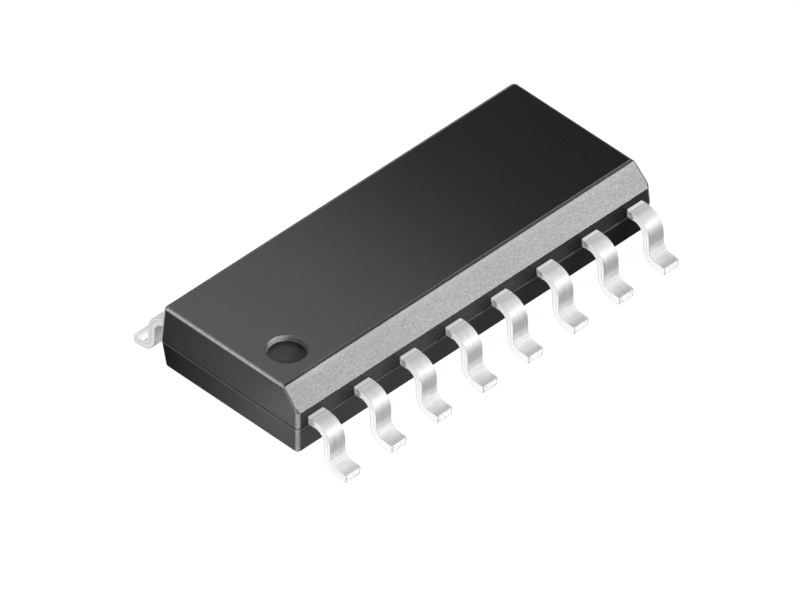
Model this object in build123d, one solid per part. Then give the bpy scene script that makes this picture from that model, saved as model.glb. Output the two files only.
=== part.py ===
from build123d import *
import os
from math import cos, radians, sin, tan

# Dual instrumentation amplifier in a sixteen-lead gull-wing package. Sizes are in millimetres.
# Origin: centre of the footprint, on the plane that the lead toes stand on. +Z is up. +X runs along
# the rows from lead 1 to lead 8, which are on the -Y side. Leads 9 to 16 come back along +Y.
# In each row a lead's rank counts from the middle of the row: -3.5 to +3.5 for eight leads.

# Moulded body
body_end_margin = 0.505
body_width = 3.9
standoff = 0.20
lower_depth = 0.70
upper_depth = 0.85
lower_draft = 5.5
upper_draft = 3.5
corner_radius = 0.13
top_edge_radius = 0.065
bottom_edge_radius = 0.05
bevel_run = 0.42
bevel_drop = 0.47

# Round dimple that marks lead 1
dimple_diameter = 0.88
dimple_depth = 0.14
dimple_wall_slope = 8
dimple_floor_radius = 0.03
dimple_rim_radius = 0.03
dimple_from_end = 0.85
dimple_from_bevel = 0.74

# Leads, from the body's wall to the toe
lead_count = 16
lead_pitch = 1.27
lead_width = 0.42
lead_thickness = 0.19
shoulder_length = 0.18
upper_bend_radius = 0.245
lower_bend_radius = 0.19
upright_lean = 2.5
foot_slope = 5
foot_length = 0.251

# Chip, adhesive and paddle
die_length = 3.0
die_width = 1.3
die_thickness = 0.25
adhesive_thickness = 0.025
adhesive_margin = 0.05
paddle_margin = 0.28
paddle_downset = 0.20
tie_bar_width = 0.30
tie_bar_flat = 0.35
tie_bar_ramp = 0.25
tie_bar_end_gap = 0.30

# Inner fingers of the leads
finger_width = 0.24
finger_gap = 0.20
finger_pitch = 0.85
finger_nose = 0.15
finger_knee = 0.12
finger_knee_growth = 0.05
end_finger_offset = 0.52

# Gold wires from the chip to the fingers
wire_diameter = 0.033
wire_rise = 0.14
wire_bend_radius = 0.06
wire_landing = 0.10
ball_diameter = 0.08
ball_height = 0.02
pad_pitch = 0.36
pad_inset = 0.09

# Levels and half sizes that follow from the values above
leads_per_row = lead_count // 2
half_length = (leads_per_row - 1) * lead_pitch / 2 + body_end_margin
half_width = body_width / 2
parting_level = standoff + lower_depth
top_level = parting_level + upper_depth
lead_top = parting_level + lead_thickness
paddle_half_length = die_length / 2 + paddle_margin
paddle_half_width = die_width / 2 + paddle_margin
paddle_bottom = parting_level - paddle_downset
paddle_top = paddle_bottom + lead_thickness
die_bottom = paddle_top + adhesive_thickness
die_top = die_bottom + die_thickness
ranks = [number - (leads_per_row - 1) / 2 for number in range(leads_per_row)]


def slab(half_x, half_y, bottom, top):
    """Block centred on the origin's upright line between two levels."""
    return Pos(0, 0, (bottom + top) / 2) * Box(2 * half_x, 2 * half_y, top - bottom)


def bevel_line():
    """Upper and lower end of the bevel, as Y and Z, on the side of leads 1 to 8."""
    wall_at_top = half_width - upper_depth * tan(radians(upper_draft))
    wall_at_foot = half_width - (upper_depth - bevel_drop) * tan(radians(upper_draft))
    return (bevel_run - wall_at_top, top_level), (-wall_at_foot, top_level - bevel_drop)


def bevel_cutter():
    """Three-cornered prism that takes off the body's long edge over leads 1 to 8."""
    (upper_y, upper_z), (lower_y, lower_z) = bevel_line()
    run = upper_y - lower_y
    drop = upper_z - lower_z
    inner = (upper_y + run, upper_z + drop)
    outer = (lower_y - run, lower_z - drop)
    triangle = make_face(Polyline(inner, outer, (outer[0], inner[1]), close=True))
    section = Plane.YZ.offset(-2 * half_length) * triangle
    return extrude(section, amount=4 * half_length)


def dimple_cutter():
    """Round pocket with a steep wall and a flat floor, set in from lead 1's end and the bevel."""
    rim = dimple_diameter / 2
    floor = rim - dimple_depth * tan(radians(dimple_wall_slope))
    corners = [(0, 0), (rim, 0), (floor, -dimple_depth), (0, -dimple_depth)]
    half_section = make_face(Polyline(*corners, close=True))
    floor_corner = half_section.vertices().sort_by(Axis.Y)[:2].sort_by(Axis.X)[-1]
    half_section = fillet(floor_corner, dimple_floor_radius)
    pocket = revolve(Plane.XZ * half_section, Axis.Z)
    end_edge = upper_depth * tan(radians(upper_draft)) - half_length
    bevel_edge = bevel_line()[0][0]
    return Pos(end_edge + dimple_from_end, bevel_edge + dimple_from_bevel, top_level) * pocket


def moulded_block():
    """Outside form of the body: two drafted halves that meet at the parting plane."""
    outline = Pos(0, 0, parting_level) * RectangleRounded(2 * half_length, body_width, corner_radius)
    upper = extrude(outline, amount=upper_depth, taper=upper_draft) - bevel_cutter()
    upper = fillet(upper.faces().sort_by(Axis.Z)[-1].edges(), top_edge_radius)
    upper = upper - dimple_cutter()
    rim = upper.faces().filter_by(Axis.Z).sort_by(Axis.Z)[-1].inner_wires()[0].edges()
    upper = fillet(rim, dimple_rim_radius)
    lower = extrude(outline, amount=-lower_depth, taper=lower_draft)
    lower = fillet(lower.faces().sort_by(Axis.Z)[0].edges(), bottom_edge_radius)
    return upper + lower


def upright_length():
    """Straight stretch between a lead's two bends that brings its toe down to the seating plane."""
    turn = radians(90 - upright_lean)
    slope = radians(foot_slope)
    upper_drop = upper_bend_radius * (1 - cos(turn))
    lower_drop = (lower_bend_radius + lead_thickness) * (cos(slope) - cos(turn))
    foot_drop = foot_length * sin(slope)
    return (parting_level - upper_drop - lower_drop - foot_drop) / sin(turn)


def wing_side(level, upper_radius, lower_radius):
    """One side of a lead's wing, from the body's wall to the toe, seen along the row."""
    upper_turn = 90 - upright_lean
    lower_turn = upper_turn - foot_slope
    shoulder = Line((0, level), (shoulder_length, level))
    upper_bend = JernArc(shoulder @ 1, shoulder % 1, upper_radius, -upper_turn)
    upright = Line(upper_bend @ 1, upper_bend @ 1 + upright_length() * (upper_bend % 1))
    lower_bend = JernArc(upright @ 1, upright % 1, lower_radius, lower_turn)
    foot = Line(lower_bend @ 1, lower_bend @ 1 + foot_length * (lower_bend % 1))
    return [shoulder, upper_bend, upright, lower_bend, foot]


def wing():
    """Gull wing outside the body, in its own place: wall at Y = 0, foot towards -Y, row centre at X = 0."""
    under = wing_side(parting_level, upper_bend_radius, lower_bend_radius + lead_thickness)
    over = wing_side(lead_top, upper_bend_radius + lead_thickness, lower_bend_radius)
    root = Line(under[0] @ 0, over[0] @ 0)
    toe = Line(under[-1] @ 1, over[-1] @ 1)
    profile = make_face([root, *under, toe, *over])
    looking_along_row = Plane(origin=(0, 0, 0), x_dir=(0, -1, 0), z_dir=(-1, 0, 0))
    return extrude(looking_along_row * profile, amount=lead_width / 2, both=True)


def is_end(rank):
    """True for the first and last lead of a row."""
    return abs(rank) == max(ranks)


def finger_tip(rank):
    """Tip of a finger and the way that it points, for a lead of the -Y row."""
    side = 1 if rank > 0 else -1
    if is_end(rank):
        return Vector(side * (paddle_half_length + finger_gap), -end_finger_offset), Vector(-side, 0)
    return Vector(rank * finger_pitch, -paddle_half_width - finger_gap), Vector(0, 1)


def finger(rank):
    """Flat strip inside the body, from the wall to beside the paddle, for a lead of the -Y row."""
    x = rank * lead_pitch
    places_out = abs(rank) - min(map(abs, ranks))
    knee_y = finger_knee + finger_knee_growth * places_out ** 2 - half_width
    tip, way = finger_tip(rank)
    route = Polyline((x, -half_width), (x, knee_y), tip - finger_nose * way, tip)
    neck = Pos(x, (knee_y - half_width) / 2) * Rectangle(lead_width, knee_y + half_width)
    plan = trace(route, line_width=finger_width) + neck
    return extrude(Pos(0, 0, parting_level) * plan, amount=lead_thickness)


def lead(rank):
    """Whole lead of the -Y row: inner finger and gull wing in one strip."""
    return Pos(rank * lead_pitch, -half_width, 0) * wing() + finger(rank)


def wire(rank):
    """Gold wire of the -Y row, with its ball on the chip and its end cut off on the finger's top face."""
    tip, way = finger_tip(rank)
    pad = Vector(rank * pad_pitch, pad_inset - die_width / 2)
    landing = tip - wire_landing * way
    start = Vector(pad.X, pad.Y, die_top + ball_height / 2)
    crest = Vector(pad.X, pad.Y, die_top + wire_rise)
    touch = Vector(landing.X, landing.Y, lead_top)
    past = touch + (touch - crest).normalized() * wire_diameter
    path = FilletPolyline(start, crest, past, radius=wire_bend_radius)
    strand = sweep(Plane(origin=path @ 0, z_dir=path % 0) * Circle(wire_diameter / 2), path=path)
    ball = Pos(pad.X, pad.Y, die_top + ball_height / 2) * Cylinder(ball_diameter / 2, ball_height)
    return strand + ball - lead(rank)


def paddle():
    """Set-down paddle with a tie bar at each end that climbs back to the level of the leads."""
    plate = slab(paddle_half_length, paddle_half_width, paddle_bottom, paddle_top)
    ramp_start = paddle_half_length + tie_bar_flat
    ramp_end = ramp_start + tie_bar_ramp
    bar_end = half_length - tie_bar_end_gap
    under = [(ramp_start, paddle_bottom), (ramp_end, parting_level), (bar_end, parting_level)]
    over = [(x, z + lead_thickness) for x, z in reversed(under)]
    side_view = make_face(Polyline((0, paddle_bottom), *under, *over, (0, paddle_top), close=True))
    bar = extrude(Plane.XZ * side_view, amount=tie_bar_width / 2, both=True)
    return plate + bar + mirror(bar, Plane.YZ)


def opposite(piece):
    """The same piece in the +Y row, turned half round the middle of the package."""
    return Rot(0, 0, 180) * piece


row_leads = [lead(rank) for rank in ranks]
row_wires = [wire(rank) for rank in ranks]
pieces = {"die_paddle": paddle()}
pieces["die_adhesive"] = slab(
    die_length / 2 + adhesive_margin, die_width / 2 + adhesive_margin, paddle_top, die_bottom
)
pieces["die"] = slab(die_length / 2, die_width / 2, die_bottom, die_top)
for number, (strip, strand) in enumerate(zip(row_leads, row_wires), 1):
    pieces[f"lead_{number:02d}"] = strip
    pieces[f"lead_{number + leads_per_row:02d}"] = opposite(strip)
    pieces[f"bond_wire_{number:02d}"] = strand
    pieces[f"bond_wire_{number + leads_per_row:02d}"] = opposite(strand)
pieces["body"] = moulded_block() - list(pieces.values())

os.makedirs("parts", exist_ok=True)
for name, piece in pieces.items():
    export_step(piece, f"parts/{name}.step")
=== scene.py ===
from math import cos, pi, radians, sin, tan

import bmesh
import bpy
from mathutils import Euler, Matrix, Vector


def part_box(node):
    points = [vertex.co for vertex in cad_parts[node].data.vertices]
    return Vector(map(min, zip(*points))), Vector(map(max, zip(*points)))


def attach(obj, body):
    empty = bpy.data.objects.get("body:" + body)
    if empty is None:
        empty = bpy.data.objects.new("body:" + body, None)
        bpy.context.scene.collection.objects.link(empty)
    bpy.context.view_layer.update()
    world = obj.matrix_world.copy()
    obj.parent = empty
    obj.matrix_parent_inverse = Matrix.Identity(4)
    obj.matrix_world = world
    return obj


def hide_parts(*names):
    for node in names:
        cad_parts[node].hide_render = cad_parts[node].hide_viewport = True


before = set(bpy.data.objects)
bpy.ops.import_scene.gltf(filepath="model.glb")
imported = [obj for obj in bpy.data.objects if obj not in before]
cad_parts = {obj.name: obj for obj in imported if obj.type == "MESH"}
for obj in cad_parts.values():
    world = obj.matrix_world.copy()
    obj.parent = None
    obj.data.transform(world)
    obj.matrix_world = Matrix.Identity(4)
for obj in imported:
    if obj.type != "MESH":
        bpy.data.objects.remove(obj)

bl_info = {
    "name": "Small-outline amplifier",
    "version": (1, 0, 0),
    "blender": (4, 5, 0),
    "location": "3D View > Sidebar > Amplifier",
    "description": "Dresses a sixteen-lead moulded amplifier: body, leads, inner pieces and stage",
    "category": "Object",
}

# Pieces are modelled in millimetres and brought down to metres when they are finished.
MM = 0.001
BODY_LOW, BODY_HIGH = (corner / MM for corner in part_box("body"))
BODY_SIZE = BODY_HIGH - BODY_LOW
LEAD_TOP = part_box("lead_04")[1].z / MM
LEAD_NAMES = [f"lead_{number:02d}" for number in range(1, 17)]
WIRE_NAMES = [f"bond_wire_{number:02d}" for number in range(1, 17)]

# Points closer than MERGE become one, and measures that differ by less than CLOSE count as the same.
MERGE = 0.0001
CLOSE = 0.002
# A face this much along a direction points that way, and one this much lies flush with a plane.
SQUARE_ON = 0.9
FLUSH = 0.99


def length(name, description, default):
    """Length property in metres, with its default given in millimetres."""
    return bpy.props.FloatProperty(
        name=name, description=description, default=default * MM, unit="LENGTH", precision=6
    )


def angle(name, description, default):
    """Angle property, with its default given in degrees."""
    return bpy.props.FloatProperty(
        name=name, description=description, default=radians(default), unit="ROTATION"
    )


def share(name, description, default):
    """Plain number from nought to one."""
    return bpy.props.FloatProperty(
        name=name, description=description, default=default, min=0, max=1, subtype="FACTOR"
    )


def strength(name, description, default):
    """Radiance of a light, on the scale where a white sheet in plain light is about one."""
    return bpy.props.FloatProperty(name=name, description=description, default=default, min=0)


def colour(name, description, default):
    """Colour property."""
    return bpy.props.FloatVectorProperty(
        name=name, description=description, default=default, size=3, min=0, max=1, subtype="COLOR"
    )


class BodySizes(bpy.types.PropertyGroup):
    """Sizes of the moulded body that its outer box doesn't give."""

    upper_draft: angle("Upper draft", "Slope of the walls above the parting line", 3.5)
    lower_draft: angle("Lower draft", "Slope of the walls below the parting line", 5.5)
    bevel_run: length("Bevel run", "Width that the long bevel takes off the top face", 0.42)
    bevel_drop: length("Bevel drop", "Height that the long bevel takes off the wall", 0.47)
    corner_radius: length("Corner radius", "Rounding of the upright corners", 0.11)
    edge_radius: length("Edge radius", "Rounding of the top and bottom edges", 0.082)
    bevel_softness: share("Bevel softness", "Rounding of the bevel's edges against the others", 0.50)
    seam_width: length("Seam width", "Width of the fine groove at the parting line", 0.040)
    seam_depth: length("Seam depth", "Depth of the fine groove at the parting line", 0.028)
    dimple_diameter: length("Dimple diameter", "Diameter of the round dimple at lead 1", 0.85)
    dimple_depth: length("Dimple depth", "Depth of the dimple", 0.14)
    dimple_slope: angle("Dimple wall slope", "Lean of the dimple's wall", 8)
    dimple_rim: length("Dimple rim radius", "Rounding of the dimple's rim and floor", 0.018)
    dimple_from_end: length("Dimple from end", "From the top face's end to the dimple's centre", 0.85)
    dimple_from_bevel: length("Dimple from bevel", "From the bevel's upper edge to the centre", 0.74)


class LeadSizes(bpy.types.PropertyGroup):
    """Sizes of one gull-wing lead outside the body."""

    pitch: length("Pitch", "Distance between neighbouring leads", 1.27)
    width: length("Width", "Width of the stamped strip", 0.42)
    thickness: length("Thickness", "Thickness of the stamped strip", 0.19)
    shoulder: length("Shoulder", "Straight stretch from the wall to the upper bend", 0.18)
    upper_radius: length("Upper bend radius", "Inside radius of the upper bend", 0.245)
    lower_radius: length("Lower bend radius", "Inside radius of the lower bend", 0.19)
    lean: angle("Lean", "How far the upright leans out from vertical", 2.5)
    foot_slope: angle("Foot slope", "How far the foot slopes down to its toe", 5)
    foot: length("Foot", "Straight stretch of the foot", 0.251)
    edge_radius: length("Edge radius", "Rounding of the strip's edges", 0.018)
    shear_level: share("Shear level", "How far down the strip's sides the clean part of the cut goes", 0.36)
    shear_step: length("Shear step", "How far the torn part of the cut stands back", 0.006)
    cut_pad: length("Cut pad", "How far the stub of the cut bar between leads stands proud", 0.009)
    pad_border: length("Cut pad border", "Margin of the strip's side round the stub", 0.008)
    pad_gap: length("Cut pad gap", "Plain stretch of the strip between the wall and the stub", 0.02)
    root: length("Root", "How far the finely modelled strip runs on inside the wall", 0.08)


class Finishes(bpy.types.PropertyGroup):
    """Colours and gloss of the finishes."""

    compound: colour("Moulding compound", "Black epoxy of the body", (0.003, 0.003, 0.0032))
    compound_fleck: colour("Compound fleck", "Paler filler grains in the epoxy", (0.03, 0.03, 0.03))
    # Pale colour of the painted highlights and painted light on the body
    compound_highlight: colour("Compound edge", "Epoxy rubbed pale along the edges", (0.36, 0.36, 0.36))
    compound_roughness: share("Compound roughness", "Roughness of the moulded surface", 0.28)
    tin: colour("Tin", "Plating on the flat faces of the leads", (0.46, 0.46, 0.46))
    # Darker tone: painted shade on the uprights, the back-row feet and the left-end sides, and also the torn
    # marks and cut lines
    tin_shade_and_marks: colour("Wiped tin", "Plating on the uprights, wiped by the bending tool", (0.33, 0.33, 0.33))
    # Paler tone: painted light on the stamped sides and toe ends, and painted highlights at the wall and on
    # the lower bend
    tin_painted_light: colour("Sheared tin", "Plating on the stamped sides and toe ends", (0.86, 0.86, 0.86))
    tin_roughness: share("Tin roughness", "Roughness of the plating", 0.56)
    copper: colour("Copper", "Bare strip of the paddle", (0.72, 0.40, 0.26))
    adhesive: colour("Adhesive", "Silver-filled adhesive", (0.52, 0.52, 0.50))
    silicon: colour("Silicon", "Polished chip", (0.10, 0.11, 0.14))
    circuit: colour("Circuit", "Sheen of the circuit blocks on the chip", (0.30, 0.28, 0.22))
    gold: colour("Gold", "Bond wires", (0.95, 0.66, 0.25))
    floor: colour("Floor", "Paint of the floor, before its own pale glow", (0.10, 0.10, 0.10))


class StageSizes(bpy.types.PropertyGroup):
    """Camera, light and floor."""

    azimuth: angle("Azimuth", "Camera's turn from straight in front", -44.697)
    elevation: angle("Elevation", "Camera's height over the horizon", 40.861)
    distance: length("Distance", "Camera's distance from its target", 489)
    lens: bpy.props.FloatProperty(name="Lens", description="Focal length", default=1110.1, unit="CAMERA")
    target_height: length("Target height", "Height of the point that the camera is set out from", 0.9)
    aim_right: length("Aim right", "Camera moved along its own right", -0.1319)
    aim_up: length("Aim up", "Camera moved along its own up", -0.6017)
    floor_size: length("Floor size", "Edge of the square floor", 900)
    floor_glow: strength("Floor glow", "Radiance of the floor by itself", 0.97)
    surround: strength("Surround", "Radiance of the room all round", 0.30)
    fill: strength("Fill", "Radiance of the low softbox on the left, which the leads' sides show", 42.0)
    key: strength("Key", "Radiance of the softbox that the bevel shows", 120.0)
    rim: strength("Rim", "Radiance of the softbox that the end's top edge shows", 16.0)
    over: strength("Overhead", "Radiance of the panel behind, which the top face shows", 3.9)
    spot: strength("Floor spot", "Radiance of the small lamp over the floor at the lead-1 corner", 36.0)
    beam: strength("Dimple beam", "Brightness that the narrow beam gives the dimple's wall", 2.6)


# Measures that the pieces and their finishes share, in millimetres

def seam_level():
    """Height of the parting line, which is the underside of the leads at the wall."""
    return LEAD_TOP - bpy.context.scene.amplifier_leads.thickness / MM


def bevel_ends(sizes):
    """Upper and lower line of the long bevel, as points in the plane across the package."""
    drop = sizes.bevel_drop / MM
    wall_top = BODY_LOW.y + (BODY_HIGH.z - seam_level()) * tan(sizes.upper_draft)
    wall_foot = BODY_LOW.y + (BODY_HIGH.z - drop - seam_level()) * tan(sizes.upper_draft)
    upper = Vector((0, wall_top + sizes.bevel_run / MM, BODY_HIGH.z))
    lower = Vector((0, wall_foot, BODY_HIGH.z - drop))
    return upper, lower


def bevel_outward(sizes):
    """Direction that the long bevel faces."""
    upper, lower = bevel_ends(sizes)
    slope = (upper - lower).normalized()
    return Vector((0, -slope.z, slope.y))


def dimple_centre(sizes):
    """Middle of the dimple, on the top face."""
    end = BODY_LOW.x + (BODY_HIGH.z - seam_level()) * tan(sizes.upper_draft)
    across = bevel_ends(sizes)[0].y + sizes.dimple_from_bevel / MM
    return Vector((end + sizes.dimple_from_end / MM, across, BODY_HIGH.z))


# Editing helpers

def start_fresh():
    """Deselect every object."""
    bpy.ops.object.select_all(action="DESELECT")


def select_only(piece):
    """Select one piece and make it the active one."""
    start_fresh()
    bpy.context.view_layer.objects.active = piece
    piece.select_set(True)


def open_mesh(piece, kind):
    """Go into edit mode on one piece with nothing selected, in vertex, edge or face mode."""
    select_only(piece)
    bpy.ops.object.mode_set(mode="EDIT")
    bpy.ops.mesh.select_mode(type=kind)
    bpy.ops.mesh.select_all(action="DESELECT")


def open_block(size, middle):
    """Add a block of a size at its place, and open it with all of it selected."""
    start_fresh()
    bpy.ops.mesh.primitive_cube_add(size=1)
    block = bpy.context.object
    open_mesh(block, "FACE")
    bpy.ops.mesh.select_all(action="SELECT")
    bpy.ops.transform.resize(value=size)
    bpy.ops.transform.translate(value=middle)
    return block


def close_mesh():
    """Go back to object mode."""
    bpy.ops.object.mode_set(mode="OBJECT")


def pick(kind, test):
    """Select the vertices, edges or faces of the open mesh that pass a test."""
    mesh = bmesh.from_edit_mesh(bpy.context.edit_object.data)
    found = [item for item in getattr(mesh, kind) if test(item)]
    if not found:
        raise RuntimeError(f"no {kind} passed the test")
    bpy.ops.mesh.select_all(action="DESELECT")
    for item in found:
        item.select_set(True)
    mesh.select_flush_mode()
    bmesh.update_edit_mesh(bpy.context.edit_object.data)


def near(value, level):
    """True where two measures are the same."""
    return abs(value - level) < CLOSE


def lies_at(level):
    """Test on an edge: both of its ends lie at one height."""
    return lambda edge: all(near(vertex.co.z, level) for vertex in edge.verts)


def mark_line(place, across):
    """Cut a line round the open mesh where a plane crosses it."""
    bpy.ops.mesh.select_all(action="SELECT")
    bpy.ops.mesh.bisect(plane_co=place, plane_no=across)


def cut_off(place, outward):
    """Cut away all of the open mesh that lies beyond a plane, and close the cut."""
    bpy.ops.mesh.select_all(action="SELECT")
    bpy.ops.mesh.bisect(plane_co=place, plane_no=outward, use_fill=True, clear_outer=True)


def merge_points():
    """Make one point of those in the same place."""
    bpy.ops.mesh.select_all(action="SELECT")
    bpy.ops.mesh.remove_doubles(threshold=MERGE)


def round_picked(radius, segments):
    """Round the picked edges."""
    bpy.ops.mesh.bevel(offset=radius, segments=segments, profile=0.5, affect="EDGES")


def add_modifier(piece, kind, **settings):
    """Add one modifier and apply it."""
    select_only(piece)
    modifier = piece.modifiers.new(kind.title(), kind)
    for name, value in settings.items():
        setattr(modifier, name, value)
    bpy.ops.object.modifier_apply(modifier=modifier.name)


def smooth_over(piece, crease, weight):
    """Smooth the rounded edges, up to a crease angle in degrees, and keep the flat faces flat."""
    select_only(piece)
    bpy.ops.object.shade_smooth_by_angle(angle=radians(crease))
    add_modifier(piece, "WEIGHTED_NORMAL", keep_sharp=True, weight=weight)


def finish_piece(piece, name, material, nodes):
    """Bring a piece down to metres, give it its finish, and set it on the frame in place of its nodes."""
    select_only(piece)
    piece.scale = (MM, MM, MM)
    bpy.ops.object.transform_apply(location=True, rotation=True, scale=True)
    piece.name = name
    piece.data.name = name
    piece.data.materials.clear()
    piece.data.materials.append(material)
    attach(piece, "root")
    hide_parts(*nodes)


# Shader helpers

class Reading:
    """A number that varies over a surface. Sums and products of readings add Math nodes."""

    def __init__(self, finish, socket):
        self.finish = finish
        self.socket = socket

    def math(self, operation, *terms):
        """Number that a Math node works out from some terms."""
        node = self.finish.node("ShaderNodeMath", {"operation": operation}, dict(enumerate(terms)))
        return Reading(self.finish, node.outputs[0])

    def __add__(self, other):
        return self.math("ADD", self, other)

    def __radd__(self, other):
        return self.math("ADD", other, self)

    def __sub__(self, other):
        return self.math("SUBTRACT", self, other)

    def __rsub__(self, other):
        return self.math("SUBTRACT", other, self)

    def __mul__(self, other):
        return self.math("MULTIPLY", self, other)

    def __rmul__(self, other):
        return self.math("MULTIPLY", other, self)

    def __abs__(self):
        return self.math("ABSOLUTE", self)

    def wrap(self, span):
        """Start again from nought after each span."""
        return self.math("WRAP", self, span, 0)

    def step(self, low, high):
        """Nought below low and one above high, with a soft ramp between them."""
        settings = {"interpolation_type": "SMOOTHSTEP"}
        sockets = {"Value": self, "From Min": low, "From Max": high}
        node = self.finish.node("ShaderNodeMapRange", settings, sockets)
        return Reading(self.finish, node.outputs["Result"])

    def fall(self, low, high):
        """One below low and nought above high, with a soft ramp between them."""
        return self.step(high, low)


class Finish:
    """A material in the making: a Principled surface and the nodes that feed it."""

    def __init__(self, name):
        self.material = bpy.data.materials.new(name)
        self.material.use_nodes = True
        self.nodes = self.material.node_tree.nodes
        self.links = self.material.node_tree.links
        self.surface = self.nodes["Principled BSDF"]
        self.place = self.node("ShaderNodeTexCoord").outputs["Object"]

    def node(self, kind, settings=None, sockets=None):
        """Add a node, set it up, then give its sockets their values or links."""
        node = self.nodes.new(kind)
        for name, value in (settings or {}).items():
            setattr(node, name, value)
        for name, value in (sockets or {}).items():
            self.feed(node, name, value)
        return node

    def feed(self, node, name, value):
        """Link a socket, or set its value."""
        source = value.socket if isinstance(value, Reading) else value
        if isinstance(source, bpy.types.NodeSocket):
            self.links.new(source, node.inputs[name])
        elif node.inputs[name].type == "RGBA":
            node.inputs[name].default_value = (*source, 1)
        else:
            node.inputs[name].default_value = source

    def axis(self, letter):
        """One coordinate of the surface point, in millimetres."""
        split = self.node("ShaderNodeSeparateXYZ", {}, {"Vector": self.place})
        return Reading(self, split.outputs[letter]) * (1 / MM)

    def facing(self, letter):
        """One part of the surface's own direction."""
        normal = self.node("ShaderNodeTexCoord").outputs["Normal"]
        split = self.node("ShaderNodeSeparateXYZ", {}, {"Vector": normal})
        return Reading(self, split.outputs[letter])

    def own(self, name):
        """Number that the mesh carries on its points."""
        return Reading(self, self.node("ShaderNodeAttribute", {"attribute_name": name}).outputs["Fac"])

    def noise(self, grain, detail=2, roughness=0.5, stretch=(1, 1, 1)):
        """Soft noise with grains of a size in millimetres, drawn out along the axes by stretch."""
        scale = [1 / (MM * grain * times) for times in stretch]
        mapped = self.node("ShaderNodeMapping", {}, {"Vector": self.place, "Scale": scale})
        sockets = {"Vector": mapped.outputs["Vector"], "Scale": 1.0, "Detail": detail, "Roughness": roughness}
        return Reading(self, self.node("ShaderNodeTexNoise", {}, sockets).outputs["Fac"])

    def mix(self, factor, first, second):
        """Blend of two colours."""
        settings = {"data_type": "RGBA"}
        node = self.node("ShaderNodeMix", settings, {0: factor, 6: first, 7: second})
        return node.outputs[2]

    def coat(self, tone, coats):
        """Lay coats over a tone one after another, each given as its cover and its own tone."""
        for cover, over in coats:
            tone = self.mix(cover, tone, over)
        return tone

    def bump(self, height, depth):
        """Surface relief of a depth in millimetres."""
        sockets = {"Height": height, "Distance": depth * MM, "Strength": 1.0}
        return self.node("ShaderNodeBump", {}, sockets).outputs["Normal"]

    def paint(self, sockets):
        """Feed the surface."""
        for name, value in sockets.items():
            self.feed(self.surface, name, value)
        return self.material

    def dull(self, cover, tone):
        """Lay a matt skin of one tone over part of the gloss."""
        skin = {"Base Color": tone, "Roughness": 1.0, "Specular IOR Level": 0.0}
        matt = self.node("ShaderNodeBsdfPrincipled", {}, skin)
        sockets = {0: cover, 1: self.surface.outputs["BSDF"], 2: matt.outputs["BSDF"]}
        blend = self.node("ShaderNodeMixShader", {}, sockets)
        self.links.new(blend.outputs["Shader"], self.nodes["Material Output"].inputs["Surface"])
        return self.material


def scaled(tone, times):
    """A tone made brighter or darker."""
    return [times * part for part in tone]


# Finish of the moulded body

class BodyZones:
    """Where a point lies on the body: measures in millimetres, and masks from nought to one."""

    def __init__(self, finish, sizes):
        seam = seam_level()
        right, back, up = (finish.facing(letter) for letter in "XYZ")
        self.along, self.across, self.height = (finish.axis(letter) for letter in "XYZ")
        self.endwise = abs(right)
        self.sideways = abs(back)
        self.upward = abs(up)
        self.slanting = self.sideways * self.upward
        self.leftward = right.fall(-0.30, -0.02)

        # Walls: all that lies under the parting line, end walls, long walls, and their upper halves
        down = seam - self.height
        self.below = down.step(0.0, 0.05)
        self.end = self.endwise.step(0.90, 0.98)
        self.face = self.sideways.step(0.90, 0.98)
        self.front = self.face * (1 - self.below)

        # Parting line: clear of its groove, the groove's lower lip, and the shadow in the groove
        groove = sizes.seam_width / MM / 2
        shadow_level = seam + 0.008
        self.off_seam = abs(down).step(groove - 0.002, groove + 0.004)
        self.lip = down.step(groove - 0.002, groove + 0.002)
        self.lip = self.lip * down.fall(2 * groove - 0.002, 2 * groove + 0.006)
        self.shadow = abs(self.height - shadow_level).fall(groove + 0.002, groove + 0.010)
        self.shadow = self.shadow * (1 - 0.85 * self.sideways.step(0.25, 0.60))

        # Dimple: all of it with its rim, its floor, its wall, and the side of the wall in the beam
        centre = dimple_centre(sizes)
        depth = sizes.dimple_depth / MM
        self.radius = sizes.dimple_diameter / MM / 2
        self.off_centre = self.along - centre.x
        off_across = self.across - centre.y
        self.reach = self.off_centre * self.off_centre + off_across * off_across
        self.dimple = self.reach.fall((self.radius + 0.03) ** 2, (self.radius + 0.05) ** 2)
        self.dimple = self.dimple * self.height.step(BODY_HIGH.z - 0.35, BODY_HIGH.z - 0.25)
        self.floor = self.dimple * (centre.z - self.height).step(0.5 * depth, 0.9 * depth)
        self.dimple_wall = self.dimple * self.upward.fall(0.75, 0.95) * (1 - 0.5 * right.step(0.3, 0.8))
        self.in_beam = (back * -0.97 - right * 0.25).step(0.75, 1.0)


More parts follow.
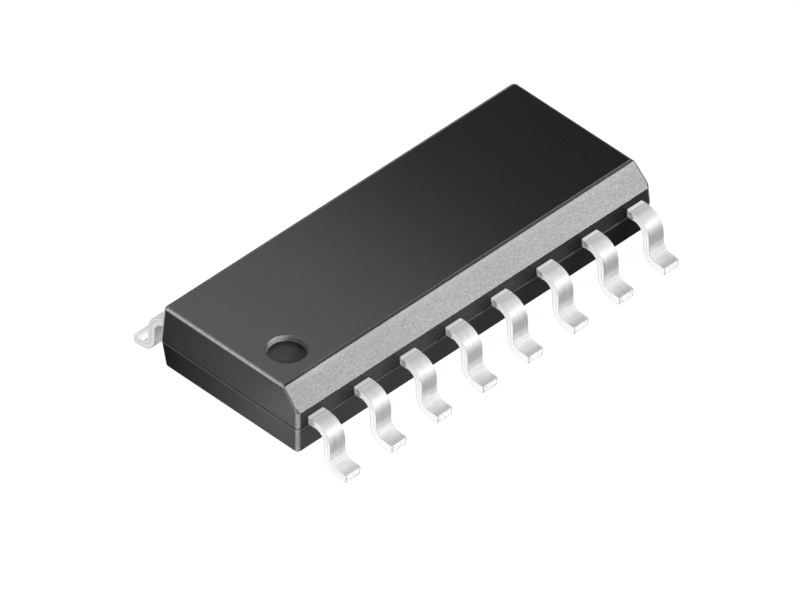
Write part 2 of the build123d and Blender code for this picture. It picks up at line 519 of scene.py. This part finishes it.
def painted_light(zones):
    """How far the compound is painted pale: painted highlights along its edges, and painted light on its
    walls and in the dimple.
    """
    # Painted highlights on the upright corners and the rims of the end walls, which fade out towards the
    # slanting faces
    corner = zones.sideways.step(0.10, 0.65) * (0.4 + 0.6 * zones.off_seam)
    end_rim = zones.upward.step(0.20, 0.65) * zones.off_seam
    corner = zones.endwise.step(0.03, 0.60) * (corner * 0.60 + end_rim * 0.47)
    corner = corner * (1 - 0.75 * zones.slanting.step(0.08, 0.25))
    # Painted highlights on the bevel's left end and on the corners of the groove
    bevel_end = zones.leftward * zones.slanting.step(0.25, 0.40)
    notch = (1 - zones.off_seam) * zones.endwise.step(0.10, 0.30) * zones.sideways.step(0.10, 0.30)
    # The bevel's upper edge: a painted highlight, a pale crest that sinks into a darker valley, both paler to
    # the right
    crest = 0.40 + zones.along * 0.058
    valley = 0.09 + zones.along * 0.007
    ridge = zones.sideways.step(0.02, 0.08) * zones.upward.step(0.68, 0.80)
    ridge = ridge * (crest + (valley - crest) * zones.sideways.step(0.08, 0.24))
    edges = (corner + bevel_end * 0.10 + ridge + notch * 0.4) * (1 - zones.dimple)
    # Painted light on the bevel under its crest, then on the dimple, a painted highlight on the lip of the
    # groove, and painted light on the flat walls
    brow = zones.slanting.step(0.46, 0.49) * zones.height.step(BODY_HIGH.z - 0.15, BODY_HIGH.z - 0.03)
    dimple = zones.dimple_wall * (0.15 + 0.20 * zones.in_beam) + zones.floor * 0.024
    lip = zones.lip * (0.10 + zones.face * 0.12)
    walls = zones.end * (1 - zones.below) * (0.014 - zones.across * 0.007)
    walls = walls + zones.front * (0.028 - 0.028 * zones.along.step(-0.5, 3.8))
    return edges + brow * 0.10 + dimple + lip + walls


def matt_skin(zones):
    """How far the gloss is lost: on the walls, in the groove and on the dimple's floor."""
    lower = zones.below * (0.40 + zones.face * (0.13 + zones.along * 0.078))
    upper = zones.front * (0.12 + zones.along * 0.05)
    ends = zones.end * zones.across * (0.25 + zones.below * 0.03)
    floor = zones.floor * (0.695 + 0.065 * zones.off_centre * (1 / zones.radius))
    return lower + upper + ends + zones.shadow * 0.5 + floor


def moulding_compound(finishes, sizes):
    """Black epoxy with a fine moulded grain, painted highlights along the edges, painted light on the walls
    and in the dimple, and a dull dimple floor.
    """
    grain_relief = 0.0005
    floor_rise = 0.025
    finish = Finish("moulding_compound")
    zones = BodyZones(finish, sizes)
    grain = finish.noise(0.050, detail=1)
    cloud = finish.noise(1.6)
    fleck = finish.noise(0.045, detail=1).step(0.66, 0.78)
    tone = finish.coat(finishes.compound, [
        (fleck * 0.5, finishes.compound_fleck),
        # Painted highlights and painted light, broken up by the grain
        (painted_light(zones) * (0.85 + (grain - 0.5) * 0.8), finishes.compound_highlight),
    ])
    texture = (grain - 0.5) * (1 - 0.8 * zones.upward.step(0.80, 0.95))
    roughness = finishes.compound_roughness + (cloud - 0.5) * 0.03 + texture * 0.08
    dome = zones.floor * (0 - zones.reach) * (floor_rise / zones.radius ** 2)
    finish.paint({
        "Base Color": tone,
        "Roughness": roughness + zones.dimple_wall * 0.1,
        "Specular IOR Level": 0.20,
        "Normal": finish.bump(texture * grain_relief + dome, 1),
    })
    return finish.dull(matt_skin(zones), tone)


# Finish of the leads

class LeadZones:
    """Where a point lies on a lead: measures in millimetres, and masks from nought to one."""

    def __init__(self, finish, sizes):
        self.along = finish.axis("X")
        self.clear = abs(finish.axis("Y")) - BODY_HIGH.y
        self.turned = abs(finish.facing("Y"))
        self.depth = finish.own("depth")
        pitch = sizes.pitch / MM
        half_width = sizes.width / MM / 2
        height = finish.axis("Z")

        # Faces: stamped sides, uprights, cut ends of the toes, and the sides where they leave the wall
        self.side = abs(finish.facing("X")).step(0.6, 0.9)
        self.upright = self.turned.step(0.30, 0.88)
        self.toe = finish.facing("Z").fall(-0.07, -0.02) * self.turned.step(0.9, 0.95)
        self.root = self.side * self.clear.fall(0.13, 0.21)
        self.margin = abs(self.along.wrap(pitch) - pitch / 2).step(half_width - 0.05, half_width - 0.02)

        # Stretches: close to the wall, lower bend and foot, back row, and the leads at the left end
        self.by_wall = self.clear.fall(0.05, 0.09)
        self.low = height.fall(0.45, 0.55)
        self.behind = finish.axis("Y").step(BODY_HIGH.y - 0.05, BODY_HIGH.y + 0.05)
        self.left_end = self.along.fall(-4.6, -3.9)
        self.near_toe = self.low * self.clear.step(0.83, 1.01)
        self.by_bend = self.clear.fall(0.73, 1.03)
        self.by_bend = self.by_bend * (0.70 - self.behind * 0.45 - self.along.step(0, 4.5) * 0.22)

        # Bends: the outer upper one and its start, taking painted shade, and the lower one with the foot of
        # the upright, taking painted shade and a painted highlight
        self.outer = self.turned.step(0.05, 0.30) * (1 - self.low)
        self.bent = self.outer * self.turned.fall(0.90, 0.99)
        self.upper_bend_start = (1 - self.low) * self.clear.step(0.11, 0.21) * self.turned.fall(0.18, 0.62)
        self.lower_bend = self.low * self.upright * self.turned.fall(0.90, 0.99)
        self.bend_glint = height.fall(0.42, 0.58) * self.turned.step(0.75, 0.95)


def painted_shade(zones):
    """How far the strip's two broad faces are darkened with painted shade: at the bends, on the shoulder and
    flats, most on the uprights, shifting along the row.
    """
    bends = (zones.upper_bend_start + zones.lower_bend * 0.7) * 0.30
    shoulder = (1 - zones.low) * (1 - zones.outer) * 0.10
    level = (1 - zones.upright) * (0.12 - zones.along * 0.025)
    steep = zones.upright * (0.18 + zones.turned.step(0.93, 0.985) * 0.11 + zones.along * 0.02)
    return bends + shoulder + level + steep


def cut_lines(zones, sizes):
    """Fine dark lines along the stamped sides, where the clean cut ends, and round the toe ends."""
    clean = sizes.shear_level
    rim = zones.depth.fall(0.04, 0.13) + zones.depth.step(0.84, 0.93)
    line = zones.depth.step(clean - 0.06, clean) * zones.depth.fall(clean + 0.08, clean + 0.16)
    toe = zones.depth.step(0.80, 0.92) + zones.margin
    return zones.side * (rim * 0.60 + line * 0.35) + zones.toe * toe * 0.55


def tin_plating(finishes, sizes):
    """Satin tin over stamped strip: drawing lines along the strip, painted shade on the uprights and painted
    light on the stamped sides.
    """
    relief_depth = 0.0012
    finish = Finish("tin_plating")
    zones = LeadZones(finish, sizes)
    lines = finish.noise(0.028, detail=3, roughness=0.65, stretch=(1, 22, 22))
    torn = finish.noise(0.035, detail=3, roughness=0.7, stretch=(1, 3, 1))
    cloud = finish.noise(0.30)
    relief = lines * (1 - zones.side) + torn * zones.side
    streaks = lines.step(0.25, 0.75)
    # A darker tone for painted shade, the uprights' streaked tone in painted shade, and the sides' tone in
    # painted light flecked with torn marks
    dark = scaled(finishes.tin_shade_and_marks, 0.5)
    shaded_upright = finish.mix(streaks, finishes.tin_shade_and_marks, scaled(finishes.tin_shade_and_marks, 1.5))
    sheared_and_lit = finish.mix(torn.step(0.60, 0.72) * 0.4, finishes.tin_painted_light, finishes.tin)
    tone = finish.coat(finishes.tin, [
        # Upper faces, from the wall out to the toes, with a painted highlight at the wall and painted light
        # and painted shade on the feet, and then the uprights in painted shade
        (streaks, scaled(finishes.tin, 1.25)),
        (zones.by_wall, scaled(finishes.tin_painted_light, 1.1)),
        (zones.low * (zones.by_bend + zones.behind * zones.left_end * 0.3), finishes.tin_painted_light),
        (zones.near_toe * 0.32, dark),
        (zones.low * zones.behind * (1 - zones.left_end) * 0.6, finishes.tin_shade_and_marks),
        (zones.upright, shaded_upright),
        # Painted shade on the broad faces, and a painted highlight on the lower bend
        (painted_shade(zones), dark),
        (zones.bend_glint * 0.32, finishes.tin_painted_light),
        # Stamped sides and the cut ends of the toes in painted light, with torn marks on the toes, torn marks
        # and painted shade at the roots, painted shade on the left-end sides, and the cut lines
        (zones.side + zones.toe, sheared_and_lit),
        (zones.toe * torn.step(0.50, 0.60) * 0.6, finishes.tin_shade_and_marks),
        (zones.root * torn.step(0.30, 0.52) * 0.9, scaled(finishes.tin_shade_and_marks, 0.7)),
        (zones.side * zones.left_end * (0.55 + zones.behind * 0.20), finishes.tin_shade_and_marks),
        (cut_lines(zones, sizes), scaled(finishes.tin_shade_and_marks, 0.55)),
    ])
    roughness = finishes.tin_roughness + (cloud - 0.5) * 0.10 + (relief - 0.5) * 0.25
    metallic = 0.35 * (1 - zones.by_wall) + zones.upright * 0.6 + (zones.side + zones.toe) * 0.15
    return finish.paint({
        "Base Color": tone,
        "Metallic": metallic,
        "Roughness": roughness + zones.bent * 0.06 + zones.lower_bend * 0.10,
        "Normal": finish.bump(relief, relief_depth),
    })


# Finishes of the sealed pieces and the floor

def bare_copper(finishes):
    """Rolled copper strip with its rolling lines along the package."""
    finish = Finish("bare_copper")
    lines = finish.noise(0.03, detail=3, stretch=(25, 1, 1))
    stain = finish.noise(0.5, detail=3).step(0.35, 0.7)
    return finish.paint({
        "Base Color": finish.mix(stain, finishes.copper, scaled(finishes.copper, 0.7)),
        "Metallic": 1.0,
        "Roughness": 0.32 + (lines - 0.5) * 0.2,
        "Normal": finish.bump(lines, 0.001),
    })


def silver_adhesive(finishes):
    """Cured adhesive full of silver flakes."""
    finish = Finish("silver_adhesive")
    flake = finish.noise(0.012)
    return finish.paint({
        "Base Color": finish.mix(flake.step(0.4, 0.65), scaled(finishes.adhesive, 0.6), finishes.adhesive),
        "Metallic": flake.step(0.45, 0.6) * 0.8,
        "Roughness": 0.55,
        "Normal": finish.bump(flake, 0.002),
    })


def polished_silicon(finishes):
    """Chip with the faint tiled sheen of its circuit blocks on the top face."""
    block_size = 0.16
    finish = Finish("polished_silicon")
    sockets = {"Vector": finish.place, "Scale": 1 / (block_size * MM), "Randomness": 0.8}
    blocks = finish.node("ShaderNodeTexVoronoi", {"distance": "CHEBYCHEV"}, sockets)
    tile = Reading(finish, blocks.outputs["Distance"]).step(0.30, 0.36) * finish.facing("Z").step(0.5, 0.9)
    return finish.paint({
        "Base Color": finish.mix(tile, finishes.silicon, finishes.circuit),
        "Metallic": 0.6,
        "Roughness": 0.16 + tile * 0.15,
    })


def bright_gold(finishes):
    """Drawn gold wire."""
    finish = Finish("bright_gold")
    lines = finish.noise(0.01)
    return finish.paint({
        "Base Color": finish.mix(lines, finishes.gold, scaled(finishes.gold, 0.85)),
        "Metallic": 1.0,
        "Roughness": 0.2 + (lines - 0.5) * 0.1,
    })


def floor_paint(finishes, glow):
    """Matt floor, faintly mottled, with a pale glow of its own."""
    finish = Finish("pale_floor")
    mottle = finish.noise(60, detail=1)
    return finish.paint({
        "Base Color": finish.mix(mottle, finishes.floor, scaled(finishes.floor, 1.1)),
        "Roughness": 0.9,
        "Specular IOR Level": 0.1,
        "Emission Color": (1.0, 1.0, 1.0),
        "Emission Strength": glow,
    })


# The pieces

class PackageBody(bpy.types.Operator):
    """Moulded body with its drafted walls, long bevel, parting line and lead-1 dimple"""

    bl_idname = "amplifier.body"
    bl_label = "Moulded body"

    def execute(self, context):
        sizes = context.scene.amplifier_body
        body = self.drafted_block(sizes)
        self.cut_bevel(body, sizes)
        self.round_edges(body, sizes)
        self.groove_seam(body, sizes)
        self.sink_dimple(body, sizes)
        smooth_over(body, crease=28, weight=100)
        material = moulding_compound(context.scene.amplifier_finishes, sizes)
        finish_piece(body, "moulded_body", material, ["body"])
        return {"FINISHED"}

    def drafted_block(self, sizes):
        """Block of the body's size, cut in two at the parting line and narrowed up and down from there."""
        seam = seam_level()
        least_climb = 0.3
        body = open_block(BODY_SIZE, (BODY_HIGH + BODY_LOW) / 2)
        mark_line((0, 0, seam), (0, 0, 1))
        self.draw_in(BODY_HIGH.z, (BODY_HIGH.z - seam) * tan(sizes.upper_draft))
        self.draw_in(BODY_LOW.z, (seam - BODY_LOW.z) * tan(sizes.lower_draft))
        pick("edges", lambda edge: abs(edge.verts[0].co.z - edge.verts[1].co.z) > least_climb)
        round_picked(sizes.corner_radius / MM, segments=6)
        close_mesh()
        return body

    def draw_in(self, level, inset):
        """Draw the points at one level in towards the middle by an inset."""
        pick("verts", lambda vertex: near(vertex.co.z, level))
        bpy.ops.transform.resize(value=(1 - 2 * inset / BODY_SIZE.x, 1 - 2 * inset / BODY_SIZE.y, 1))

    def cut_bevel(self, body, sizes):
        """Cut the long edge over leads 1 to 8 away along a slanting plane."""
        upper, _ = bevel_ends(sizes)
        open_mesh(body, "FACE")
        cut_off(upper, bevel_outward(sizes))
        close_mesh()

    def round_edges(self, body, sizes):
        """Round the top, bottom and bevel edges, but not the bevel's lower line, which is crisp."""
        outward = bevel_outward(sizes)
        at_seam = lies_at(seam_level())

        def is_bevel(face):
            """True on the long bevel."""
            return face.normal.dot(outward) > FLUSH

        def is_crisp(edge):
            """True on the bevel's lower line and on the parting line."""
            others = [face.normal for face in edge.link_faces if not is_bevel(face)]
            lower_line = len(others) == 1 and abs(others[0].x) < 0.5 and others[0].z < 0.5
            return lower_line or at_seam(edge)

        def is_soft(edge):
            """True on the bevel's upper line and its two ends."""
            return any(is_bevel(face) for face in edge.link_faces) and not is_crisp(edge)

        open_mesh(body, "EDGE")
        pick("edges", lambda edge: edge.calc_face_angle() > radians(25) and not is_crisp(edge))
        bpy.ops.transform.edge_bevelweight(value=1)
        pick("edges", is_soft)
        bpy.ops.transform.edge_bevelweight(value=sizes.bevel_softness - 1)
        close_mesh()
        rounding = {"width": sizes.edge_radius / MM, "segments": 5, "use_clamp_overlap": False}
        add_modifier(body, "BEVEL", limit_method="WEIGHT", **rounding)

    def groove_seam(self, body, sizes):
        """Press a fine groove into the wall all round at the parting line."""
        seam = seam_level()
        open_mesh(body, "EDGE")
        pick("edges", lies_at(seam))
        round_picked(sizes.seam_width / MM / 2, segments=2)
        self.draw_in(seam, sizes.seam_depth / MM)
        close_mesh()

    def sink_dimple(self, body, sizes):
        """Cut the round dimple with a tapered plug and round its rim."""
        depth = sizes.dimple_depth / MM
        radius = sizes.dimple_diameter / MM / 2
        rim = sizes.dimple_rim / MM
        taper = depth * tan(sizes.dimple_slope)
        centre = dimple_centre(sizes)

        def on_rim(edge):
            """True where both ends lie on the circle that the plug cuts into the top face."""
            places = [vertex.co for vertex in edge.verts]
            return all(near(place.z, centre.z) and near((place - centre).length, radius) for place in places)

        start_fresh()
        bpy.ops.mesh.primitive_cone_add(
            vertices=96, radius1=radius - taper, radius2=radius + taper, depth=2 * depth, location=centre
        )
        plug = bpy.context.object
        open_mesh(plug, "EDGE")
        pick("edges", lies_at(-depth))
        round_picked(rim, segments=4)
        close_mesh()
        add_modifier(body, "BOOLEAN", operation="DIFFERENCE", solver="EXACT", object=plug)
        bpy.data.objects.remove(plug)
        open_mesh(body, "EDGE")
        pick("edges", on_rim)
        round_picked(rim, segments=4)
        close_mesh()


class PackageLeads(bpy.types.Operator):
    """Sixteen gull-wing leads, each with its wing outside and its finger inside the body"""

    bl_idname = "amplifier.leads"
    bl_label = "Gull-wing leads"

    def execute(self, context):
        sizes = context.scene.amplifier_leads
        material = tin_plating(context.scene.amplifier_finishes, sizes)
        wing = self.wing(sizes)
        per_row = len(LEAD_NAMES) // 2
        middle = (per_row - 1) / 2
        for number, node in enumerate(LEAD_NAMES):
            row, place = divmod(number, per_row)
            turn = Matrix.Rotation(row * pi, 4, "Z")
            shift = Matrix.Translation(((place - middle) * sizes.pitch / MM, 0, 0))
            strip = wing.copy()
            strip.data = wing.data.copy()
            strip.data.transform(turn @ shift)
            context.collection.objects.link(strip)
            self.join(strip, self.finger(node, sizes, 1 if row else -1))
            finish_piece(strip, f"gull_wing_{number + 1:02d}", material, [node])
        bpy.data.objects.remove(wing)
        return {"FINISHED"}

    def upright_length(self, sizes):
        """Straight stretch between the bends that brings the toe down to the floor."""
        turn = pi / 2 - sizes.lean
        upper_drop = sizes.upper_radius * (1 - cos(turn))
        lower_drop = (sizes.lower_radius + sizes.thickness) * (cos(sizes.foot_slope) - cos(turn))
        foot_drop = sizes.foot * sin(sizes.foot_slope)
        return (LEAD_TOP * MM - sizes.thickness - upper_drop - lower_drop - foot_drop) / sin(turn)

    def wing(self, sizes):
        """One wing at the middle of the row on the -Y side, drawn out bend by bend from the wall."""
        turn = pi / 2 - sizes.lean
        wing = self.strip_start(sizes)
        pick("faces", lambda face: face.normal.y < -SQUARE_ON)
        bend_level = LEAD_TOP - (sizes.thickness + sizes.upper_radius) / MM
        self.bend(turn, (0, BODY_LOW.y - sizes.shoulder / MM, bend_level), steps=14)
        self.draw_out(self.heading(turn) * self.upright_length(sizes) / MM)
        outward = self.heading(turn - pi / 2)
        centre = self.end_top(outward) + outward * sizes.lower_radius / MM
        self.bend(sizes.foot_slope - turn, centre, steps=12)
        self.draw_out(self.heading(sizes.foot_slope) * sizes.foot / MM)
        merge_points()
        bpy.ops.mesh.normals_make_consistent(inside=False)
        self.raise_pads(sizes)
        close_mesh()
        rounding = {"width": sizes.edge_radius / MM, "segments": 3, "angle_limit": radians(60)}
        add_modifier(wing, "BEVEL", limit_method="ANGLE", **rounding)
        smooth_over(wing, crease=35, weight=60)
        return wing

    def strip_start(self, sizes):
        """Straight strip through the wall, with the line on its sides where the clean cut ends."""
        thickness = sizes.thickness / MM
        root = sizes.root / MM
        shoulder = sizes.shoulder / MM
        clean_end = LEAD_TOP - sizes.shear_level * thickness
        torn_start = clean_end - 1.5 * sizes.shear_step / MM
        middle = (0, BODY_LOW.y + (root - shoulder) / 2, LEAD_TOP - thickness / 2)
        strip = open_block((sizes.width / MM, root + shoulder, thickness), middle)
        self.mark_depth(thickness)
        mark_line((0, 0, clean_end), (0, 0, 1))
        mark_line((0, 0, torn_start), (0, 0, 1))
        mark_line((0, BODY_LOW.y - sizes.pad_gap / MM, 0), (0, 1, 0))
        pick("verts", lambda vertex: vertex.co.z < torn_start + CLOSE)
        bpy.ops.transform.resize(value=(1 - 2 * sizes.shear_step / sizes.width, 1, 1))
        return strip

    def mark_depth(self, thickness):
        """Note on each point how deep it lies in the strip's thickness, before the strip is bent."""
        mesh = bmesh.from_edit_mesh(bpy.context.edit_object.data)
        depth = mesh.verts.layers.float.new("depth")
        for vertex in mesh.verts:
            vertex[depth] = (LEAD_TOP - vertex.co.z) / thickness
        bmesh.update_edit_mesh(bpy.context.edit_object.data)

    def raise_pads(self, sizes):
        """Raise the stubs on both sides of the shoulder where the bar between the leads was cut off."""
        front = BODY_LOW.y - sizes.shoulder / MM
        back = BODY_LOW.y - sizes.pad_gap / MM

        def beside_shoulder(face):
            """True on the strip's sides between the wall and the upper bend."""
            return abs(face.normal.x) > SQUARE_ON and front < face.calc_center_median().y < back

        pick("faces", beside_shoulder)
        bpy.ops.mesh.inset(thickness=sizes.pad_border / MM, depth=sizes.cut_pad / MM, use_boundary=True)

    def heading(self, dip):
        """Direction away from the wall that dips below level by an angle."""
        return Vector((0, -cos(dip), -sin(dip)))

    def bend(self, turn, centre, steps):
        """Spin the picked end faces about a line across the strip, turning the strip down by an angle."""
        bpy.ops.mesh.spin(steps=steps, angle=-turn, center=centre, axis=(1, 0, 0))

    def draw_out(self, stretch):
        """Extrude the picked end faces along a stretch."""
        bpy.ops.mesh.extrude_region_move(TRANSFORM_OT_translate={"value": stretch})

    def end_top(self, outward):
        """Middle of the picked end's outermost edge."""
        mesh = bmesh.from_edit_mesh(bpy.context.edit_object.data)
        places = [vertex.co for vertex in mesh.verts if vertex.select]
        reach = max(place.dot(outward) for place in places)
        edge = [place for place in places if near(place.dot(outward), reach)]
        return sum(edge, Vector()) / len(edge)

    def finger(self, node, sizes, side):
        """Inner finger of a lead: a copy of the node's own form, merged and cut off inside the wall."""
        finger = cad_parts[node].copy()
        finger.data = finger.data.copy()
        finger.parent = None
        finger.data.transform(Matrix.Scale(1 / MM, 4))
        bpy.context.collection.objects.link(finger)
        open_mesh(finger, "FACE")
        merge_points()
        cut_off((0, side * (BODY_HIGH.y - sizes.root / MM), 0), (0, side, 0))
        close_mesh()
        return finger

    def join(self, strip, finger):
        """Make one mesh of the wing and the finger."""
        select_only(strip)
        finger.select_set(True)
        bpy.ops.object.join()


class PackageInside(bpy.types.Operator):
    """Finishes of the pieces sealed in the body: paddle, adhesive, chip and wires"""

    bl_idname = "amplifier.inside"
    bl_label = "Inner pieces"

    def execute(self, context):
        finishes = context.scene.amplifier_finishes
        gold = bright_gold(finishes)
        dressed = {
            "die_paddle": bare_copper(finishes),
            "die_adhesive": silver_adhesive(finishes),
            "die": polished_silicon(finishes),
            **{name: gold for name in WIRE_NAMES},
        }
        for node, material in dressed.items():
            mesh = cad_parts[node].data
            mesh.materials.clear()
            mesh.materials.append(material)
        return {"FINISHED"}


class PackageStage(bpy.types.Operator):
    """Pale floor, soft light and the camera"""

    bl_idname = "amplifier.stage"
    bl_label = "Stage"

    def execute(self, context):
        scene = context.scene
        sizes = scene.amplifier_stage
        self.floor(sizes, scene.amplifier_finishes)
        self.surround(scene, sizes)
        self.lights(sizes, dimple_centre(scene.amplifier_body))
        self.camera(scene, sizes)
        scene.view_settings.view_transform = "Standard"
        return {"FINISHED"}

    def floor(self, sizes, finishes):
        """Square floor under the toes."""
        start_fresh()
        bpy.ops.mesh.primitive_plane_add(size=sizes.floor_size)
        floor = bpy.context.object
        floor.name = "floor"
        floor.data.materials.append(floor_paint(finishes, sizes.floor_glow))

    def surround(self, scene, sizes):
        """Even light from the room all round."""
        world = bpy.data.worlds.new("room")
        world.use_nodes = True
        background = world.node_tree.nodes["Background"]
        background.inputs["Color"].default_value = (1, 1, 1, 1)
        background.inputs["Strength"].default_value = sizes.surround
        scene.world = world

    def lights(self, sizes, dimple):
        """Softboxes round the package, a lamp over the floor and a beam into the dimple.

        Each is given the direction to it from its target, the target, its distance and its size.
        """
        self.softbox("key_softbox", (0.534, -0.715, 0.437), (0, 0, 0), 150, (25, 25), sizes.key)
        self.softbox("rim_softbox", (-0.652, 0.539, 0.534), (-4.9, 0, 1.7), 60, (30, 20), sizes.rim)
        self.softbox("fill_softbox", (-0.85, -0.5, 0.16), (0, -2.5, 0.5), 60, (20, 10), sizes.fill)
        self.softbox("back_panel", (0, 0, 1), (1.8, 10.7, 1.75), 13, (16, 18), sizes.over)
        self.softbox("floor_spot", (0, 0, 1), (-6.4, -0.6, 0), 0.7, (1.1, 1.1), sizes.spot)
        self.spotlight("dimple_beam", (0.10, -0.9, 0.42), dimple, 30, 2.6, sizes.beam)

    def softbox(self, name, toward, target, distance, size, radiance):
        """Rectangular light that only its reflections show, with its width and height in millimetres."""
        data = bpy.data.lights.new(name, "AREA")
        data.shape = "RECTANGLE"
        data.size, data.size_y = (edge * MM for edge in size)
        data.energy = radiance * pi * data.size * data.size_y
        light = self.hang(data, toward, target, distance)
        light.visible_camera = False

    def spotlight(self, name, toward, target, distance, spread, brightness):
        """Narrow beam, a few degrees across, that lights its target and shows in no reflection."""
        data = bpy.data.lights.new(name, "SPOT")
        data.spot_size = radians(spread)
        data.spot_blend = 0.6
        data.shadow_soft_size = 0.5 * MM
        data.energy = brightness * (2 * pi * distance * MM) ** 2
        light = self.hang(data, toward, target, distance)
        light.visible_glossy = False

    def hang(self, data, toward, target, distance):
        """Hang a light at a distance from its target and turn it to face it, in millimetres."""
        direction = Vector(toward).normalized()
        light = bpy.data.objects.new(data.name, data)
        light.location = (Vector(target) + direction * distance) * MM
        light.rotation_euler = direction.to_track_quat("Z", "Y").to_euler()
        bpy.context.collection.objects.link(light)
        return light

    def camera(self, scene, sizes):
        """Long lens far off, set out from a point over the middle of the floor."""
        data = bpy.data.cameras.new("camera")
        data.lens = sizes.lens
        data.sensor_width = 36
        data.clip_start = 0.01
        data.clip_end = 10
        camera = bpy.data.objects.new("camera", data)
        camera.rotation_euler = Euler((pi / 2 - sizes.elevation, 0, sizes.azimuth))
        axes = camera.rotation_euler.to_matrix()
        offset = axes @ Vector((sizes.aim_right, sizes.aim_up, sizes.distance))
        camera.location = Vector((0, 0, sizes.target_height)) + offset
        bpy.context.collection.objects.link(camera)
        scene.camera = camera


class AmplifierPanel(bpy.types.Panel):
    """Sizes and steps of the package"""

    bl_idname = "VIEW3D_PT_amplifier"
    bl_label = "Amplifier"
    bl_space_type = "VIEW_3D"
    bl_region_type = "UI"
    bl_category = "Amplifier"

    def draw(self, context):
        """List every size and colour, and then a button for each step."""
        layout = self.layout
        for name in GROUPS:
            group = getattr(context.scene, name)
            box = layout.box()
            for key in type(group).__annotations__:
                box.prop(group, key)
        for step in STEPS:
            layout.operator(step.bl_idname)


GROUPS = {
    "amplifier_body": BodySizes,
    "amplifier_leads": LeadSizes,
    "amplifier_finishes": Finishes,
    "amplifier_stage": StageSizes,
}
STEPS = [PackageBody, PackageLeads, PackageInside, PackageStage]


def register():
    """Add the sizes, the steps and the panel."""
    for group in GROUPS.values():
        bpy.utils.register_class(group)
    for name, group in GROUPS.items():
        setattr(bpy.types.Scene, name, bpy.props.PointerProperty(type=group))
    for step in [*STEPS, AmplifierPanel]:
        bpy.utils.register_class(step)


def unregister():
    """Take the panel, the steps and the sizes away again."""
    for step in [AmplifierPanel, *reversed(STEPS)]:
        bpy.utils.unregister_class(step)
    for name in GROUPS:
        delattr(bpy.types.Scene, name)
    for group in reversed(list(GROUPS.values())):
        bpy.utils.unregister_class(group)


def main():
    """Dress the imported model."""
    register()
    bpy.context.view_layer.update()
    bpy.ops.amplifier.stage()
    bpy.ops.amplifier.body()
    bpy.ops.amplifier.leads()
    bpy.ops.amplifier.inside()


if __name__ == "__main__":
    main()
